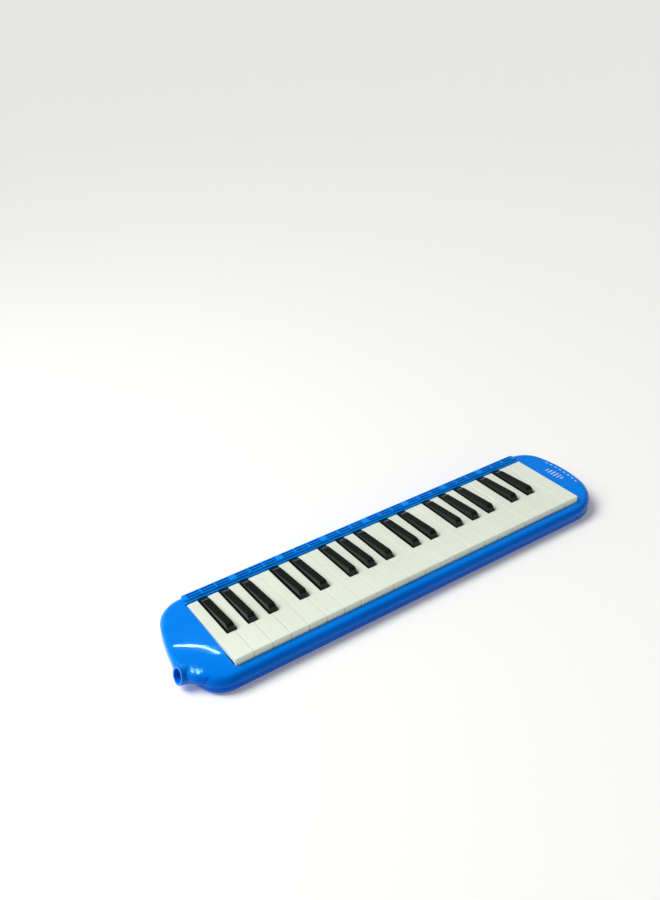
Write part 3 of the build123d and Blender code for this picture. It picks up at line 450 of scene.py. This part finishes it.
def matt_plastic(name, colour, roughness):
    """Plain moulded plastic with a spark-eroded texture."""
    material, tree, shader = new_material(name)
    set_colour(tree, shader, noise(tree, scale=30, detail=3), *shades(colour, 0.06))
    haze = mapped(tree, noise(tree, scale=120, detail=4), roughness * 0.85, roughness * 1.15)
    tree.links.new(haze, shader.inputs["Roughness"])
    relief = noise(tree, scale=3200, detail=3, roughness=0.6)
    set_bump(tree, shader, relief, distance=0.03 * MM, strength=0.6)
    return material


def metal(name, colour, roughness, grain):
    """Rolled, drawn or plated metal. grain stretches its fine lines along one axis."""
    material, tree, shader = new_material(name)
    lines = noise(tree, scale=900, detail=4, roughness=0.6, vector=stretched(tree, grain))
    stain = noise(tree, scale=55, detail=3)
    set_colour(tree, shader, maths(tree, "MULTIPLY", lines, stain), *shades(colour, 0.12))
    tree.links.new(mapped(tree, lines, roughness * 0.7, roughness * 1.3), shader.inputs["Roughness"])
    shader.inputs["Metallic"].default_value = 1.0
    set_bump(tree, shader, lines, distance=0.008 * MM, strength=0.6)
    return material


def rubber(name, colour):
    material, tree, shader = new_material(name)
    set_colour(tree, shader, noise(tree, scale=300, detail=4), *shades(colour, 0.2))
    tree.links.new(mapped(tree, noise(tree, scale=150, detail=3), 0.6, 0.8), shader.inputs["Roughness"])
    relief = noise(tree, scale=2200, detail=3)
    set_bump(tree, shader, relief, distance=0.02 * MM, strength=0.6)
    gloss_tint(shader, RUBBER_GLOSS, WHITE)
    return material


def felt_cloth(name, colour):
    """Pressed wool: fine fibres and a soft sheen."""
    material, tree, shader = new_material(name)
    fibres = noise(tree, scale=1600, detail=5, roughness=0.7, vector=stretched(tree, (1, 0.35, 1)))
    set_colour(tree, shader, fibres, *shades(colour, 0.35))
    shader.inputs["Roughness"].default_value = 0.95
    shader.inputs["Sheen Weight"].default_value = 0.4
    set_bump(tree, shader, fibres, distance=0.2 * MM, strength=0.8)
    return material


def bands(tree, axis, pitch):
    """Smooth ridges across one axis, that far apart."""
    split = tree.nodes.new("ShaderNodeSeparateXYZ")
    tree.links.new(position(tree), split.inputs["Vector"])
    turns = maths(tree, "MULTIPLY", split.outputs[axis], 2 * math.pi / pitch)
    return maths(tree, "SINE", turns, 0.0)


def webbing(name, colour):
    """Woven nylon strap: ribs across it, yarns along it."""
    material, tree, shader = new_material(name)
    weave = maths(tree, "MULTIPLY", bands(tree, "X", 1.6 * MM), bands(tree, "Y", 1.2 * MM))
    yarn = noise(tree, scale=1400, detail=4, roughness=0.6, vector=stretched(tree, (0.3, 1, 1)))
    height = maths(tree, "ADD", weave, yarn)
    set_colour(tree, shader, mapped(tree, height, 0, 1, -1, 2), *shades(colour, 0.4))
    tree.links.new(mapped(tree, yarn, 0.6, 0.85), shader.inputs["Roughness"])
    shader.inputs["Sheen Weight"].default_value = 0.25
    set_bump(tree, shader, height, distance=0.15 * MM, strength=0.7)
    return material


def printed_ink(name, colour):
    """Screen print: a thin coat with slightly uneven cover."""
    material, tree, shader = new_material(name)
    cover = noise(tree, scale=700, detail=4, roughness=0.6)
    set_colour(tree, shader, mapped(tree, cover, 0, 1), [c * 0.7 for c in colour], colour)
    tree.links.new(mapped(tree, cover, 0.3, 0.5), shader.inputs["Roughness"])
    return material


MATERIALS = {
    "blue_gloss": glossy_plastic("azure_abs", AZURE, AZURE_SHADED_FRONT, 0.03, 0.25),
    "blue_gloss_lower": glossy_plastic("azure_abs_lower", AZURE_LOWER_SHADED, AZURE_LOWER_SHADED_FRONT, 0.06, 0.15),
    "blue_rail": glossy_plastic("azure_abs_rail", AZURE_RAIL_LIT, AZURE_RAIL_LIT, 0.12),
    "blue_socket": glossy_plastic("azure_abs_socket", AZURE, AZURE_SHADED_FRONT, 0.08),
    "button_blue": glossy_plastic("azure_abs_button", AZURE, AZURE_SHADED_FRONT, 0.1),
    "key_ivory": key_plastic("ivory_keys", (0.83, 0.89, 0.775), 0.3, 0.4),
    "key_black": key_plastic("black_keys", (0.003, 0.006, 0.004), 0.1, 0.3),
    "inner_plastic": matt_plastic("inner_abs", (0.62, 0.62, 0.58), 0.45),
    "seal_rubber": rubber("seal_rubber", (0.03, 0.03, 0.03)),
    "reed_plate_brass": metal("plate_brass", (0.75, 0.55, 0.22), 0.28, (0.05, 1, 1)),
    "reed_brass": metal("reed_bronze", (0.78, 0.55, 0.30), 0.24, (1, 0.05, 1)),
    "rivet_brass": metal("rivet_brass", (0.70, 0.50, 0.20), 0.3, (1, 1, 0.3)),
    "screw_steel": metal("screw_zinc", (0.62, 0.63, 0.65), 0.3, (1, 1, 0.4)),
    "axle_steel": metal("axle_steel", (0.55, 0.55, 0.56), 0.25, (0.03, 1, 1)),
    "spring_steel": metal("spring_steel", (0.32, 0.34, 0.40), 0.3, (1, 0.08, 1)),
    "felt": felt_cloth("stop_felt", (0.20, 0.03, 0.03)),
    "strap_webbing": webbing("nylon_webbing", (0.02, 0.02, 0.024)),
    "anchor_plastic": matt_plastic("anchor_abs", (0.02, 0.02, 0.02), 0.5),
    "print_white": printed_ink("white_print", (0.80, 0.86, 0.92)),
}


def dress_nodes():
    """Give every CAD node the material of its slot in the record."""
    for part in frame["record"]["subparts"]:
        mesh = frame["nodes"][part["node"]].data
        mesh.materials.clear()
        mesh.materials.append(MATERIALS[part["material_slot"]])


# ---------------------------------------------------------------- print and strap

def add_piece(name, builder, slot, body="case"):
    """New object from a bmesh, with the material of that slot, and on its body."""
    mesh = bpy.data.meshes.new(name)
    builder.to_mesh(mesh)
    builder.free()
    mesh.materials.append(MATERIALS[slot])
    piece = bpy.data.objects.new(name, mesh)
    bpy.context.scene.collection.objects.link(piece)
    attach(piece, body)
    return piece


def add_patch(builder, outline):
    """Thin closed patch of ink on the crown, with that outline in plan."""
    lower = [builder.verts.new(crown_point(x, y)[0]) for x, y in outline]
    lifted = [crown_point(x, y) for x, y in outline]
    upper = [builder.verts.new(point + normal * PRINT_THICK) for point, normal in lifted]
    builder.faces.new(reversed(lower))
    builder.faces.new(upper)
    count = len(outline)
    for i in range(count):
        j = (i + 1) % count
        builder.faces.new((lower[i], lower[j], upper[j], upper[i]))


def add_print():
    """Plain printed trim on the right panel: a dashed line beside the edge and a row of bars."""
    builder = bmesh.new()
    width, length = DASH_SIZE
    for i in range(DASH_COUNT):
        share = i / (DASH_COUNT - 1)
        middle = math.radians(DASH_ANGLES[0] + (DASH_ANGLES[1] - DASH_ANGLES[0]) * share)
        half = length / DASH_RADIUS / 2
        corners = ((0, -half), (width, -half), (width, half), (0, half))
        outline = [
            (
                RIGHT_BOW_X + (DASH_RADIUS + out) * math.cos(middle + turn),
                RIGHT_BOW_Y + (DASH_RADIUS + out) * math.sin(middle + turn),
            )
            for out, turn in corners
        ]
        add_patch(builder, outline)
    for i, bar in enumerate(BAR_LENGTHS):
        y = BAR_Y[0] + (BAR_Y[1] - BAR_Y[0]) * i / (len(BAR_LENGTHS) - 1)
        x = BAR_X - BAR_LEAN * y
        reach = bar * MM / 2
        left, right, rear = x - reach, x + reach, y + BAR_WIDTH
        add_patch(builder, [(left, y), (right, y), (right, rear), (left, rear)])
    add_piece("panel_print", builder, "print_white")


def add_strap():
    """Woven strap in its recess, with rolled edges and a slight ripple along it."""
    low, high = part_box("hand_strap")
    middle = (low + high) / 2
    half_width = (high.y - low.y) / 2
    half_thick = (high.z - low.z) / 2
    flat = half_width - STRAP_ROLL
    profile = [
        (-flat, -1), (-flat / 2, -1), (0, -1), (flat / 2, -1), (flat, -1),
        (half_width, -STRAP_EDGE), (half_width, STRAP_EDGE),
        (flat, 1), (flat / 2, 1), (0, 1), (-flat / 2, 1), (-flat, 1),
        (-half_width, STRAP_EDGE), (-half_width, -STRAP_EDGE),
    ]
    builder = bmesh.new()
    rings = []
    for i in range(STRAP_STEPS + 1):
        x = low.x + (high.x - low.x) * i / STRAP_STEPS
        thick = half_thick * (1 - STRAP_RIPPLE * (i % 2))
        rings.append([builder.verts.new((x, middle.y + y, middle.z + z * thick)) for y, z in profile])
    count = len(profile)
    for ring, following in zip(rings, rings[1:]):
        for k in range(count):
            n = (k + 1) % count
            builder.faces.new((ring[k], ring[n], following[n], following[k]))
    builder.faces.new(reversed(rings[0]))
    builder.faces.new(rings[-1])
    bmesh.ops.recalc_face_normals(builder, faces=builder.faces)
    strap = add_piece("strap_cloth", builder, "strap_webbing")
    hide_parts("hand_strap")


add_camera()
add_world()
add_lights()
add_floor()
dress_nodes()
add_print()
add_strap()
